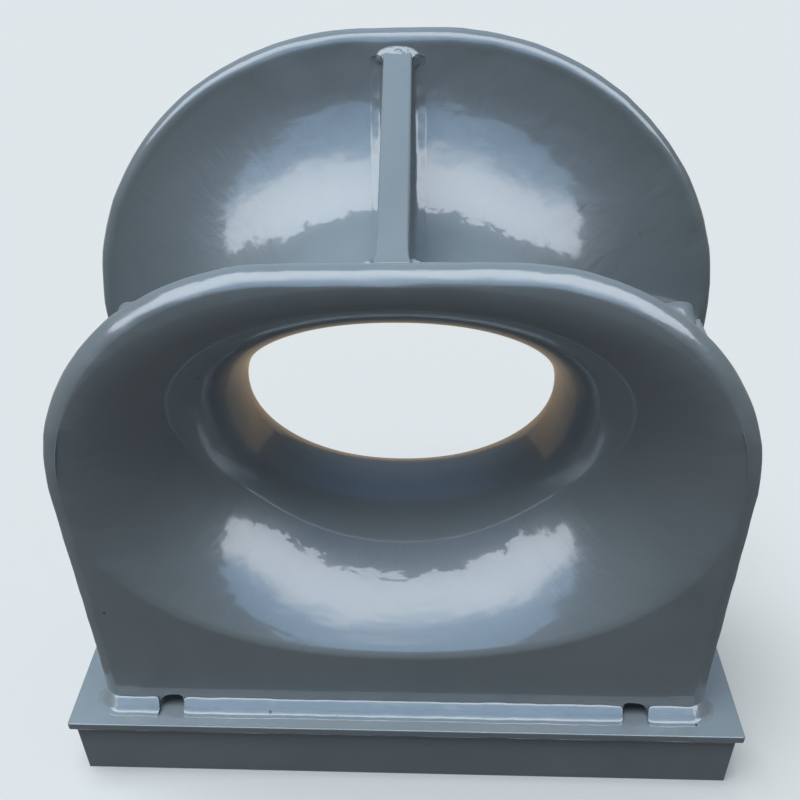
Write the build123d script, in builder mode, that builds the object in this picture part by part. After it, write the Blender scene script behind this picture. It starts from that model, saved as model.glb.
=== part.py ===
"""Deck-mounted panama chock: two bell halves with tall lips, a rib over the throat and a box base.

X runs across the opening, Y from the front lip to the rear lip, Z up from the deck.
The origin lies on the deck, under the middle of the base.
"""
import os
from math import acos, asin, atan, cos, degrees, radians, sin, sqrt, tan

from build123d import *

# Opening that the rope runs through, with round ends
opening_width = 366.0
opening_height = 285.0
opening_level = 375.0  # its centre above the base plate
throat_lean = 11.5  # degrees that the throat leans, its lower edge towards the rear lip

# Bell and flanges
flange_width = 760.0
body_length = 300.0  # over the two flange faces
wall = 24.0
rim_round = 11.0
lip_margin = 12.0  # flange left outside the bell's mouth
mouth_foot = 103.0  # from the base plate up to the mouth's lower edge
front_lip_height = 620.0  # above the base plate
front_corner_radius = 275.0
rear_lip_height = 760.0
rear_corner_radius = 345.0
top_flare = 90.0  # turn of the bell's curve at its top, foot and sides: 90 runs out flat
foot_flare = 62.0
side_flare = 80.0
bell_steps = 6  # sections from throat to mouth, less one
bell_end_turn = 87.0  # of the quarter turn, where the bell has run out on the flange

# Drain scallops at the foot of each flange
scallop_width = 30.0
scallop_height = 24.0
scallop_spacing = 588.0
scallop_outer_round = 17.0
scallop_inner_round = 6.0

# Base plate on its box pedestal
base_end_margin = 45.0  # beyond the flanges' ends
base_side_margin = 30.0  # beyond the flanges' faces
base_thickness = 12.0
base_edge_round = 2.0
skirt_height = 88.0
skirt_thickness = 12.0
skirt_inset = 7.0
web_thickness = 12.0
web_spacing = 210.0
web_count = 3
web_snipe = 22.0

# Plates between the flanges
rib_thickness = 30.0
rib_drop = 20.0  # from the rear rim down to the rib's high end
rib_edge_round = 2.5
lower_rib_thickness = 20.0
shelf_level = 415.0  # upper face above the base plate
shelf_thickness = 12.0
shelf_inset = 11.0
side_plate_thickness = 12.0
side_plate_inset = 7.0  # under the shelf's edge

# Weld legs, and the root gap left for them along the curved faces
foot_weld_leg = 16.0
rib_weld_leg = 14.0
shelf_weld_leg = 18.0
side_weld_leg = 7.0
skirt_weld_leg = 6.0
end_weld_leg = 12.0
throat_weld_width = 14.0
throat_weld_height = 4.0
throat_weld_round = 3.0
root_gap = 0.3
weld_bulge = 0.18  # of the leg, out from a flat weld face

# Worked-out sizes
base_length = flange_width + 2 * base_end_margin
base_depth = body_length + 2 * base_side_margin
base_top = skirt_height + base_thickness
opening_top = base_top + opening_level + opening_height / 2
opening_foot = opening_top - opening_height
half_length = body_length / 2
groove_half = half_length - wall
half_width = flange_width / 2
shelf_edge = half_width - shelf_inset
shelf_top = base_top + shelf_level
side_face = shelf_edge - side_plate_inset
rib_front_top = base_top + front_lip_height
rib_rear_top = base_top + rear_lip_height - rib_drop
skirt_length = base_length - 2 * skirt_inset
skirt_depth = base_depth - 2 * skirt_inset


class Lip:
    """One flange: which side of the throat it is on, its height and its corner radius."""

    def __init__(self, side, height, corner_radius):
        self.side = side
        self.height = height
        self.corner_radius = corner_radius
        self.mouth_top = base_top + height - lip_margin


front_lip = Lip(-1, front_lip_height, front_corner_radius)
rear_lip = Lip(1, rear_lip_height, rear_corner_radius)


def across(y):
    """Plane that stands across the rope's path at y, with X to the right and Z up."""
    return Plane(origin=(0, y, 0), x_dir=(1, 0, 0), z_dir=(0, -1, 0))


def flare(turn, end):
    """Share of the way from throat to mouth, on a curve that has turned this far at its end."""
    local = asin(sin(radians(turn)) * sin(radians(end)))
    return (1 - cos(local)) / (1 - cos(radians(end)))


class Ring:
    """The bell's round-ended section at one turn, in a plane that leans less to the mouth.

    The skin is the wall up to the groove's side, and the gap is left outside that all round.
    """

    def __init__(self, lip, skin, gap, turn):
        throat_top, throat_foot = opening_top + skin, opening_foot - skin
        throat_side = opening_width / 2 + skin
        top = throat_top + (lip.mouth_top - throat_top) * flare(turn, top_flare) + gap
        foot = throat_foot + (base_top + mouth_foot - throat_foot) * flare(turn, foot_flare) - gap
        side = throat_side + (half_width - lip_margin - throat_side) * flare(turn, side_flare)
        reach = sin(radians(turn))
        slope = (1 - reach) * tan(radians(throat_lean))
        self.lean = atan(slope)
        self.radius = (top - foot) / 2 / cos(self.lean)
        self.straight = side + gap - self.radius
        self.level = (top + foot) / 2
        self.y = lip.side * (half_length - skin) * reach + slope * (opening_top - self.level)

    def plane(self):
        """Plane of the section, with X to the right and the leaning upright as Y."""
        normal = (0, -cos(self.lean), -sin(self.lean))
        return Plane(origin=(0, self.y, self.level), x_dir=(1, 0, 0), z_dir=normal)

    def at_height(self, height):
        """Point on the section's right half at this height: x and y."""
        climb = (height - self.level) / cos(self.lean)
        return self.straight + sqrt(self.radius**2 - climb**2), self.y - climb * sin(self.lean)

    def crown(self):
        """Top point of the section in the middle of the chock: y and z."""
        return (
            self.y - self.radius * sin(self.lean),
            self.level + self.radius * cos(self.lean),
        )


def bell_turns():
    """Turns of the bell's sections, from the throat to where it has run out on the flange."""
    return [bell_end_turn * step / bell_steps for step in range(bell_steps + 1)]


def bell_core(lip, skin, gap=0.0):
    """All that lies inside the bell, out to the skin and gap beyond the rope's side of it."""
    with BuildPart() as core:
        for turn in bell_turns()[:: -lip.side]:
            ring = Ring(lip, skin, gap, turn)
            with BuildSketch(ring.plane()):
                SlotOverall(2 * (ring.straight + ring.radius), 2 * ring.radius)
        loft()
        mouth = core.faces().sort_by(Axis.Y)[:: lip.side][-1]
        extrude(mouth, amount=wall / 2)
    return core.part


rope_side = {lip.side: bell_core(lip, 0) for lip in (front_lip, rear_lip)}
groove_side = {lip.side: bell_core(lip, wall) for lip in (front_lip, rear_lip)}
seat_side = {lip.side: bell_core(lip, wall, root_gap) for lip in (front_lip, rear_lip)}


def flange_plate(lip):
    """The flange with its rounded rim, standing on the base plate."""
    with BuildPart() as plate:
        with BuildSketch(across(lip.side * (half_length + groove_half) / 2)) as outline:
            with Locations((0, base_top + lip.height / 2)):
                Rectangle(flange_width, lip.height)
            fillet(outline.vertices().group_by(Axis.Y)[-1], lip.corner_radius)
        extrude(amount=wall / 2, both=True)
        rim = plate.faces().filter_by(Axis.Y).edges()
        fillet(rim.filter_by_position(Axis.Z, base_top + 1, base_top + lip.height), rim_round)
    return plate.part


def scallops(lip):
    """Two drain holes at the flange's foot, rounder on the side towards the flange's end."""
    with BuildPart() as cut:
        with BuildSketch(across(lip.side * half_length)) as shape:
            with Locations((scallop_spacing / 2, base_top + scallop_height / 2)):
                Rectangle(scallop_width, scallop_height)
            fillet(shape.vertices().group_by(Axis.Y)[-1].sort_by(Axis.X)[-1], scallop_outer_round)
            fillet(shape.vertices().group_by(Axis.X)[0].sort_by(Axis.Y)[-1], scallop_inner_round)
            mirror(about=Plane.YZ)
        extrude(amount=2 * wall, both=True)
    return cut.part


def trumpet(lip):
    """One half of the chock: flange, rim, foot and bell."""
    with BuildPart() as half:
        add(flange_plate(lip))
        add(groove_side[lip.side])
        add(rope_side[lip.side], mode=Mode.SUBTRACT)
        add(scallops(lip), mode=Mode.SUBTRACT)
    return half


front_trumpet = trumpet(front_lip)
rear_trumpet = trumpet(rear_lip)

# Ring weld that joins the halves, on the groove side of the throat
throat = Ring(front_lip, wall, root_gap, 0)


def throat_disc(width, outside):
    """Disc that follows the leaning throat, straight back and forth, this far outside it."""
    with BuildPart() as disc:
        with BuildSketch(throat.plane()):
            length = 2 * (throat.straight + throat.radius)
            SlotOverall(length + 2 * outside, 2 * throat.radius + 2 * outside)
        extrude(amount=width / 2, dir=(0, 1, 0), both=True)
    return disc


with BuildPart() as throat_weld:
    add(throat_disc(throat_weld_width, throat_weld_height))
    rims = throat_weld.faces().filter_by(GeomType.PLANE).sort_by(Axis.Y)
    fillet(rims[0].edges() + rims[-1].edges(), throat_weld_round)
    add(throat_disc(2 * throat_weld_width, 0), mode=Mode.SUBTRACT)
    add(bell_core(rear_lip, wall, root_gap / 2), mode=Mode.SUBTRACT)

# Room for the ring weld, and with it all the room that webs and shelves leave for the bell
ring_room = throat_disc(throat_weld_width + 2 * root_gap, throat_weld_height + root_gap)
with BuildPart() as seat:
    add(seat_side[-1])
    add(seat_side[1])
    add(ring_room)


def web_over_throat(profile, thickness, top_round=0.0):
    """Web in the middle of the chock, cut to the groove's curve."""
    with BuildPart() as web:
        with BuildSketch(Plane.YZ):
            with BuildLine():
                Polyline(*profile, close=True)
            make_face()
        extrude(amount=thickness / 2, both=True)
        if top_round:
            top = web.faces().sort_by(Axis.Z)[-1]
            fillet(top.edges().sort_by(SortBy.LENGTH)[-2:], top_round)
        add(seat, mode=Mode.SUBTRACT)
    return web


middle_level = base_top + opening_level
top_rib = web_over_throat(
    [
        (-groove_half, middle_level),
        (groove_half, middle_level),
        (groove_half, rib_rear_top),
        (-groove_half, rib_front_top),
    ],
    rib_thickness,
    rib_edge_round,
)
lower_rib = web_over_throat(
    [
        (-groove_half, base_top),
        (groove_half, base_top),
        (groove_half, middle_level),
        (-groove_half, middle_level),
    ],
    lower_rib_thickness,
)


def bead_section(leg, along, up):
    """Corner weld's section: root at the origin, legs along the two directions, round face."""
    bulge = leg / 2 + weld_bulge * leg
    with BuildSketch(mode=Mode.PRIVATE) as section:
        with BuildLine():
            Line((0, 0), (along * leg, 0))
            ThreePointArc((along * leg, 0), (along * bulge, up * bulge), (0, up * leg))
            Line((0, up * leg), (0, 0))
        make_face()
    return section.sketch


def groove_line(height_of, last_turn):
    """Points down the front bell, through the throat and up the rear bell on the groove side."""
    front = [height_of(front_lip, turn) for turn in reversed(bell_turns())]
    rear = [height_of(rear_lip, last_turn * turn / bell_end_turn) for turn in bell_turns()]
    return front + rear[1:]


def rib_foot(lip, turn):
    """Point of the groove's floor beside the rib."""
    return Ring(lip, wall, 3 * root_gap, turn).crown()


rib_foot_rise = rear_lip.mouth_top - opening_top - wall
rib_drop_turn = degrees(acos((rib_drop - lip_margin + end_weld_leg) / rib_foot_rise))


def rib_weld(side):
    """Fillet weld along one side of the rib, following the groove."""
    root = side * (rib_thickness / 2 + root_gap)
    points = [(root, y, z) for y, z in groove_line(rib_foot, rib_drop_turn)]
    with BuildPart() as weld:
        with BuildLine() as path:
            Spline(*points)
        with BuildSketch(Plane(origin=points[0], x_dir=(side, 0, 0), z_dir=path.line % 0)):
            add(bead_section(rib_weld_leg, 1, -side))
        sweep(path=path.line)
        add(ring_room, mode=Mode.SUBTRACT)
    return weld


rib_weld_left = rib_weld(-1)
rib_weld_right = rib_weld(1)

# Bead across the rib's high end, under the rear rim
with BuildPart() as rib_end_weld:
    end_corner = Plane(
        origin=(0, groove_half, rib_rear_top), x_dir=(0, -1, 0), z_dir=(1, 0, 0)
    )
    with BuildSketch(end_corner):
        add(bead_section(end_weld_leg, 1, -1))
    extrude(amount=rib_thickness / 2, both=True)
    with BuildSketch(Plane.YZ):
        with BuildLine():
            Polyline(
                (-groove_half, rib_front_top),
                (groove_half, rib_rear_top),
                (groove_half, base_top),
                (-groove_half, base_top),
                close=True,
            )
        make_face()
    extrude(amount=rib_thickness, both=True, mode=Mode.SUBTRACT)

# Weld that fills the rounded rim behind the rib's low end
with BuildPart() as rib_toe_weld:
    with BuildSketch(Plane.YZ):
        with Locations((-groove_half - rim_round / 2, rib_front_top - rim_round / 2)):
            Rectangle(rim_round, rim_round)
    extrude(amount=rib_thickness / 2, both=True)
    add(flange_plate(front_lip), mode=Mode.SUBTRACT)


def shelf(side):
    """Level plate that closes the groove at one side, cut to the bell."""
    with BuildPart() as plate:
        with BuildSketch(Plane.XY.offset(shelf_top - shelf_thickness)):
            with Locations((side * (shelf_edge + opening_width / 4) / 2, 0)):
                Rectangle(shelf_edge - opening_width / 4, 2 * groove_half)
        extrude(amount=shelf_thickness)
        add(seat, mode=Mode.SUBTRACT)
    return plate


shelf_left = shelf(-1)
shelf_right = shelf(1)


def shelf_foot(lip, turn):
    """Point where the shelf's upper face meets the bell, on the right."""
    return Ring(lip, wall, root_gap, turn).at_height(shelf_top)


# Fillet welds along the bell on the shelves' upper faces
shelf_line = groove_line(shelf_foot, bell_end_turn)
with BuildPart() as shelf_weld_left:
    with BuildLine() as shelf_path:
        Spline(*[(-x, y, shelf_top) for x, y in shelf_line])
    shelf_start = Plane(origin=shelf_path.line @ 0, x_dir=(0, 1, 0), z_dir=shelf_path.line % 0)
    with BuildSketch(shelf_start):
        add(bead_section(shelf_weld_leg, 1, 1))
    sweep(path=shelf_path.line)
    with BuildSketch(Plane.XY.offset(shelf_top)):
        with Locations((-shelf_edge / 2, 0)):
            Rectangle(shelf_edge, 2 * groove_half)
    extrude(amount=2 * shelf_weld_leg, mode=Mode.INTERSECT)
    add(seat, mode=Mode.SUBTRACT)
with BuildPart() as shelf_weld_right:
    mirror(shelf_weld_left.part, about=Plane.YZ)


def side_plate(side):
    """Upright plate that closes the box under one shelf."""
    height = shelf_top - shelf_thickness - base_top
    with BuildPart() as plate:
        with BuildSketch(Plane.XY.offset(base_top)):
            with Locations((side * (side_face - side_plate_thickness / 2), 0)):
                Rectangle(side_plate_thickness, 2 * groove_half)
        extrude(amount=height)
        add(seat, mode=Mode.SUBTRACT)
    return plate


side_plate_left = side_plate(-1)
side_plate_right = side_plate(1)


def side_weld(side):
    """Fillet weld round the edge of a side plate, in the recess between the flanges."""
    height = shelf_top - shelf_thickness - base_top
    face = Plane(origin=(side * side_face, 0, base_top), x_dir=(0, 1, 0), z_dir=(side, 0, 0))
    middle = side * height / 2
    with BuildPart() as weld:
        with BuildSketch(face):
            with Locations((0, middle)):
                Rectangle(2 * groove_half, height)
        extrude(amount=side_weld_leg)
        with BuildSketch(face):
            with Locations((0, middle)):
                Rectangle(2 * (groove_half - side_weld_leg), height - 2 * side_weld_leg)
        extrude(amount=side_weld_leg - root_gap, taper=-45, mode=Mode.SUBTRACT)
        with BuildSketch(face.offset(side_weld_leg)):
            with Locations((0, middle)):
                Rectangle(2 * groove_half, height)
        extrude(amount=-root_gap, mode=Mode.SUBTRACT)
        add(seat, mode=Mode.SUBTRACT)
    return weld


side_weld_left = side_weld(-1)
side_weld_right = side_weld(1)

# Base plate
with BuildPart() as base_plate:
    with BuildSketch(Plane.XY.offset(skirt_height)):
        Rectangle(base_length, base_depth)
    extrude(amount=base_thickness)
    fillet(base_plate.edges(), base_edge_round)


def foot_weld(lip, low_x, high_x):
    """Fillet weld at a flange's foot over one stretch, wrapped round the flange's end."""
    middle_y = lip.side * (half_length + groove_half) / 2
    with BuildPart() as weld:
        with BuildSketch(Plane.XY.offset(base_top)):
            with Locations((0, middle_y)):
                RectangleRounded(
                    flange_width + 2 * foot_weld_leg,
                    wall + 2 * foot_weld_leg,
                    rim_round + foot_weld_leg,
                )
        extrude(amount=foot_weld_leg, taper=45)
        with BuildSketch(Plane.XY.offset(base_top)):
            with Locations((0, middle_y)):
                RectangleRounded(flange_width, wall, rim_round)
        extrude(amount=foot_weld_leg, mode=Mode.SUBTRACT)
        with BuildSketch(Plane.XY.offset(base_top)):
            reach = wall + foot_weld_leg
            with Locations(((low_x + high_x) / 2, lip.side * (groove_half + reach / 2))):
                Rectangle(high_x - low_x, reach)
        extrude(amount=foot_weld_leg, mode=Mode.INTERSECT)
    return weld


scallop_inner = (scallop_spacing - scallop_width) / 2
scallop_outer = (scallop_spacing + scallop_width) / 2
weld_reach = half_width + foot_weld_leg
front_foot_weld_left = foot_weld(front_lip, -weld_reach, -scallop_outer)
front_foot_weld_center = foot_weld(front_lip, -scallop_inner, scallop_inner)
front_foot_weld_right = foot_weld(front_lip, scallop_outer, weld_reach)
rear_foot_weld_left = foot_weld(rear_lip, -weld_reach, -scallop_outer)
rear_foot_weld_center = foot_weld(rear_lip, -scallop_inner, scallop_inner)
rear_foot_weld_right = foot_weld(rear_lip, scallop_outer, weld_reach)


def skirt(length, depth, x, y):
    """One upright plate of the pedestal box."""
    with BuildPart() as plate:
        with BuildSketch():
            with Locations((x, y)):
                Rectangle(length, depth)
        extrude(amount=skirt_height)
    return plate


skirt_y = (skirt_depth - skirt_thickness) / 2
skirt_x = (skirt_length - skirt_thickness) / 2
skirt_clear_depth = skirt_depth - 2 * skirt_thickness
skirt_front = skirt(skirt_length, skirt_thickness, 0, -skirt_y)
skirt_rear = skirt(skirt_length, skirt_thickness, 0, skirt_y)
skirt_left = skirt(skirt_thickness, skirt_clear_depth, -skirt_x, 0)
skirt_right = skirt(skirt_thickness, skirt_clear_depth, skirt_x, 0)

# Weld round the skirt, under the base plate's overhang
with BuildPart() as skirt_weld:
    with BuildSketch(Plane.XY.offset(skirt_height)):
        Rectangle(skirt_length + 2 * skirt_weld_leg, skirt_depth + 2 * skirt_weld_leg)
    extrude(amount=-skirt_weld_leg, taper=45)
    with BuildSketch(Plane.XY.offset(skirt_height)):
        Rectangle(skirt_length, skirt_depth)
    extrude(amount=-skirt_weld_leg, mode=Mode.SUBTRACT)


def base_web(x):
    """Web inside the pedestal, with its corners snipped clear of the welds."""
    with BuildPart() as web:
        with BuildSketch(Plane.YZ.offset(x)) as outline:
            with Locations((0, skirt_height / 2)):
                Rectangle(skirt_clear_depth, skirt_height)
            chamfer(outline.vertices(), web_snipe)
        extrude(amount=web_thickness / 2, both=True)
    return web


web_names = ("base_web_left", "base_web_center", "base_web_right")
web_places = [(step - (web_count - 1) / 2) * web_spacing for step in range(web_count)]

pieces = {
    "front_trumpet": front_trumpet,
    "rear_trumpet": rear_trumpet,
    "throat_weld": throat_weld,
    "top_rib": top_rib,
    "lower_rib": lower_rib,
    "rib_weld_left": rib_weld_left,
    "rib_weld_right": rib_weld_right,
    "rib_end_weld": rib_end_weld,
    "rib_toe_weld": rib_toe_weld,
    "shelf_left": shelf_left,
    "shelf_right": shelf_right,
    "shelf_weld_left": shelf_weld_left,
    "shelf_weld_right": shelf_weld_right,
    "side_plate_left": side_plate_left,
    "side_plate_right": side_plate_right,
    "side_weld_left": side_weld_left,
    "side_weld_right": side_weld_right,
    "base_plate": base_plate,
    "front_foot_weld_left": front_foot_weld_left,
    "front_foot_weld_center": front_foot_weld_center,
    "front_foot_weld_right": front_foot_weld_right,
    "rear_foot_weld_left": rear_foot_weld_left,
    "rear_foot_weld_center": rear_foot_weld_center,
    "rear_foot_weld_right": rear_foot_weld_right,
    "skirt_front": skirt_front,
    "skirt_rear": skirt_rear,
    "skirt_left": skirt_left,
    "skirt_right": skirt_right,
    "skirt_weld": skirt_weld,
}
for name, place in zip(web_names, web_places):
    pieces[name] = base_web(place)

os.makedirs("parts", exist_ok=True)
for name, piece in pieces.items():
    piece.part.label = name
    export_step(piece.part, f"parts/{name}.step")
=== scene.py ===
"""Panama chock in thick grey enamel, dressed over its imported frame.

Lengths are in metres. X runs across the opening, Y from the low lip to the high lip, Z up
from the deck. Every piece is fixed to the one body of the chock.
"""

from functools import partial
from math import acos, asin, atan, atan2, cos, pi, radians, remainder, sin, sqrt, tan

import bmesh
import bpy
from bpy.props import FloatProperty, FloatVectorProperty, IntProperty, PointerProperty
from mathutils import Matrix, Vector, noise


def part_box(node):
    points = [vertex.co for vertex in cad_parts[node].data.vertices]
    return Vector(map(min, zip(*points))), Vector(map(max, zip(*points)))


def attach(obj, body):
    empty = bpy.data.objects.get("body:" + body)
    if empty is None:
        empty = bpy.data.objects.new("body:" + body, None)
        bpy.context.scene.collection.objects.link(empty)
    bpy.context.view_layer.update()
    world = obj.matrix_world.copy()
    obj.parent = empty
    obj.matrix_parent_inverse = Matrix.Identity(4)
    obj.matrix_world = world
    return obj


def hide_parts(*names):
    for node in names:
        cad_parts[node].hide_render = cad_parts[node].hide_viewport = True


bl_info = {
    "name": "Panama Chock",
    "version": (1, 0, 0),
    "blender": (4, 5, 0),
    "location": "View3D > Sidebar > Chock",
    "description": "Bell halves, welds, plates and enamel of a deck-mounted panama chock",
    "category": "Object",
}

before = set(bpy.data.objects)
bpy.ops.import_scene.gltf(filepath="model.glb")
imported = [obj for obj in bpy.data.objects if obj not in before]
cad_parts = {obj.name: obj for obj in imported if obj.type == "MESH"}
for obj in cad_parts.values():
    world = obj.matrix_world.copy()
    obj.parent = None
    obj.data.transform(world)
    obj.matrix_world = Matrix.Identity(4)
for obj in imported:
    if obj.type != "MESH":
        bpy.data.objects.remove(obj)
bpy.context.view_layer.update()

BASE_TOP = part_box("base_plate")[1].z
SKIRT_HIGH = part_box("skirt_rear")[1]
FRONT_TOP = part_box("front_trumpet")[1].z
REAR_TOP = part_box("rear_trumpet")[1].z
HALF_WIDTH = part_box("front_trumpet")[1].x
HALF_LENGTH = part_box("rear_trumpet")[1].y
RIB_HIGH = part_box("top_rib")[1]
SHELF_LOW, SHELF_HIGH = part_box("shelf_right")
SIDE_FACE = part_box("side_plate_right")[1].x

SIDES = ((-1, "left"), (1, "right"))
RIGHT, AHEAD, UP = Vector((1, 0, 0)), Vector((0, 1, 0)), Vector((0, 0, 1))
NEAR = 1e-5  # closer than this, points are one


class ChockBell(bpy.types.PropertyGroup):
    """Sizes of the opening, the bell halves and their flanges"""

    opening_width: FloatProperty(
        name="Opening width", description="Width of the throat", default=0.366, unit="LENGTH")
    opening_height: FloatProperty(
        name="Opening height", description="Height of the throat", default=0.285, unit="LENGTH")
    opening_level: FloatProperty(
        name="Opening level", description="Middle of the throat above the base plate",
        default=0.375, unit="LENGTH")
    throat_lean: FloatProperty(
        name="Throat lean",
        description="Lean of the throat, its lower edge towards the high lip",
        default=radians(11.5), subtype="ANGLE")
    wall: FloatProperty(
        name="Wall", description="Thickness of bell and flange", default=0.024, unit="LENGTH")
    rim_reach: FloatProperty(
        name="Rim reach", description="How far the rim's round reaches in over the rope's face",
        default=0.018, unit="LENGTH")
    rim_depth: FloatProperty(
        name="Rim depth", description="Depth of the rim's round on the rope's side",
        default=0.0125, unit="LENGTH")
    rim_round: FloatProperty(
        name="Rim round", description="Depth of the round on the rim's groove side",
        default=0.0095, unit="LENGTH")
    groove_reach: FloatProperty(
        name="Groove reach", description="How far that round reaches in over the groove's face",
        default=0.0165, unit="LENGTH")
    lip_margin: FloatProperty(
        name="Lip margin", description="Flange left outside the bell's mouth", default=0.019,
        unit="LENGTH")
    mouth_foot: FloatProperty(
        name="Mouth foot", description="From the base plate up to the mouth's lower edge",
        default=0.103, unit="LENGTH")
    top_flare: FloatProperty(
        name="Top flare",
        description="Turn of the bell's curve at its top, where 90 degrees runs out flat",
        default=radians(90), subtype="ANGLE")
    foot_flare: FloatProperty(
        name="Foot flare", description="Turn of the bell's curve at its foot",
        default=radians(62), subtype="ANGLE")
    side_flare: FloatProperty(
        name="Side flare", description="Turn of the bell's curve at its sides",
        default=radians(80), subtype="ANGLE")
    front_corner: FloatProperty(
        name="Low lip corner", description="Corner radius of the low lip", default=0.275,
        unit="LENGTH")
    rear_corner: FloatProperty(
        name="High lip corner", description="Corner radius of the high lip", default=0.345,
        unit="LENGTH")
    scallop_width: FloatProperty(
        name="Scallop width", description="Width of a drain scallop", default=0.030,
        unit="LENGTH")
    scallop_height: FloatProperty(
        name="Scallop height", description="Height of a drain scallop", default=0.024,
        unit="LENGTH")
    scallop_spacing: FloatProperty(
        name="Scallop spacing", description="Between the two scallops", default=0.588,
        unit="LENGTH")
    fullness: FloatProperty(
        name="Fullness", description="How much squarer than an ellipse a long section is",
        default=0.45)
    rim_power: FloatProperty(
        name="Rim power", description="Power of the rim's curve: 2 is round, 1 is a chamfer",
        default=1.4)
    waviness: FloatProperty(
        name="Waviness", description="Depth of the rim's slow waves", default=0.0018,
        unit="LENGTH")
    ring_points: IntProperty(
        name="Ring points", description="Steps round half a ring of a bell", default=90, min=16)
    bell_rings: IntProperty(
        name="Bell rings", description="Rings from the throat to the mouth", default=26, min=6)


class ChockWelds(bpy.types.PropertyGroup):
    """Sizes of the welds and how unevenly they are laid"""

    foot_leg: FloatProperty(
        name="Foot weld leg", description="Height of the welds at the flanges' feet",
        default=0.019, unit="LENGTH")
    foot_reach: FloatProperty(
        name="Foot weld reach", description="Width of those welds on the base plate",
        default=0.013, unit="LENGTH")
    rib_leg: FloatProperty(
        name="Rib weld leg", description="Leg of the welds beside the rib", default=0.014,
        unit="LENGTH")
    end_leg: FloatProperty(
        name="Rib end leg", description="Leg of the bead round the rib's high end",
        default=0.0075, unit="LENGTH")
    shelf_leg: FloatProperty(
        name="Shelf weld leg", description="Width of the welds on the shelves", default=0.022,
        unit="LENGTH")
    shelf_height: FloatProperty(
        name="Shelf weld height", description="Height of those welds up the bell",
        default=0.026, unit="LENGTH")
    side_leg: FloatProperty(
        name="Side weld leg", description="Leg of the welds round the side plates",
        default=0.007, unit="LENGTH")
    skirt_leg: FloatProperty(
        name="Skirt weld leg", description="Leg of the weld under the base plate",
        default=0.006, unit="LENGTH")
    throat_width: FloatProperty(
        name="Throat weld width", description="Width of the ring weld", default=0.014,
        unit="LENGTH")
    throat_height: FloatProperty(
        name="Throat weld height", description="Crown of the ring weld", default=0.004,
        unit="LENGTH")
    unevenness: FloatProperty(
        name="Unevenness", description="How far a bead's size wanders, of its leg",
        default=0.10, subtype="FACTOR")
    step: FloatProperty(
        name="Step", description="Advance between two ripples of a bead", default=0.006,
        unit="LENGTH")


class ChockEnamel(bpy.types.PropertyGroup):
    """The enamel on every piece"""

    colour: FloatVectorProperty(
        name="Enamel", description="Main colour of the enamel", subtype="COLOR",
        default=(0.200, 0.235, 0.260), min=0, max=1)
    shade: FloatVectorProperty(
        name="Thick enamel", description="Colour where the coat is thicker", subtype="COLOR",
        default=(0.170, 0.202, 0.226), min=0, max=1)
    nib: FloatVectorProperty(
        name="Nibs", description="Colour of dry nibs in the coat", subtype="COLOR",
        default=(0.40, 0.42, 0.43), min=0, max=1)
    roughness: FloatProperty(
        name="Roughness", description="Roughness of the cured enamel", default=0.30,
        subtype="FACTOR")
    peel: FloatProperty(
        name="Orange peel", description="Strength of the fine texture", default=0.5,
        subtype="FACTOR")
    sag: FloatProperty(
        name="Sags", description="Strength of the brushed waves", default=1.0, subtype="FACTOR")


class ChockStage(bpy.types.PropertyGroup):
    """Floor, light and sky"""

    floor: FloatVectorProperty(
        name="Floor", description="Colour of the floor in view", subtype="COLOR",
        default=(0.50, 0.50, 0.50), min=0, max=1)
    key_level: FloatProperty(
        name="Overhead light", description="Strength of the wide light overhead", default=4.2)
    sky_level: FloatProperty(
        name="Sky level", description="Even light from all round", default=0.28)
    glow_level: FloatProperty(
        name="Glow level", description="Brightness of the low sky seen in the gloss",
        default=5.3)


# ---- helpers for modelling by hand ----


def lone(obj=None):
    """Nothing selected, or only this object, which is then the active one."""
    bpy.ops.object.select_all(action="DESELECT")
    if obj:
        obj.select_set(True)
        bpy.context.view_layer.objects.active = obj


def placed(name):
    """The primitive just added, named, with its place moved into its mesh."""
    obj = bpy.context.object
    obj.name = obj.data.name = name
    bpy.ops.object.transform_apply(location=True, rotation=True, scale=True)
    return obj


def start_editing(obj):
    lone(obj)
    bpy.ops.object.mode_set(mode="EDIT")
    bpy.ops.mesh.select_mode(type="VERT")
    return bmesh.from_edit_mesh(obj.data)


def stop_editing():
    bpy.ops.object.mode_set(mode="OBJECT")


def extrude(shift):
    """Extrudes what is selected and moves the new points, which are then selected."""
    bpy.ops.mesh.extrude_region_move(TRANSFORM_OT_translate={"value": shift})


def turn_about(angle, axis, centre):
    """Turns what is selected; without a window the rotate operator turns the other way."""
    if abs(angle) > NEAR:
        bpy.ops.transform.rotate(value=-angle, orient_axis=axis, center_override=centre)


def chosen(bm):
    """Numbers of the points now selected."""
    bm.verts.index_update()
    bm.verts.ensure_lookup_table()
    return [v.index for v in bm.verts if v.select]


def choose(obj, bm, numbers):
    """Selects these points and the edges between them."""
    bm.verts.ensure_lookup_table()
    wanted = set(numbers)
    for v in bm.verts:
        v.select = v.index in wanted
    bm.select_flush_mode()
    bm.select_flush(True)
    bmesh.update_edit_mesh(obj.data)


def choose_edges(obj, test):
    """Starts editing, with only the edges that pass the test selected."""
    bm = start_editing(obj)
    bpy.ops.mesh.select_all(action="DESELECT")
    for edge in filter(test, bm.edges):
        edge.select_set(True)
    bmesh.update_edit_mesh(obj.data)


def apply_all(obj):
    lone(obj)
    for modifier in list(obj.modifiers):
        bpy.ops.object.modifier_apply(modifier=modifier.name)


def add_clouds(obj, name, size, depth):
    """A displacement by clouds, still to be given its strength and applied."""
    texture = bpy.data.textures.new(f"{obj.name}_{name}", "CLOUDS")
    texture.noise_scale = size
    texture.noise_depth = depth
    displace = obj.modifiers.new(name, "DISPLACE")
    displace.texture = texture
    displace.texture_coords = "LOCAL"
    return displace


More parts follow.
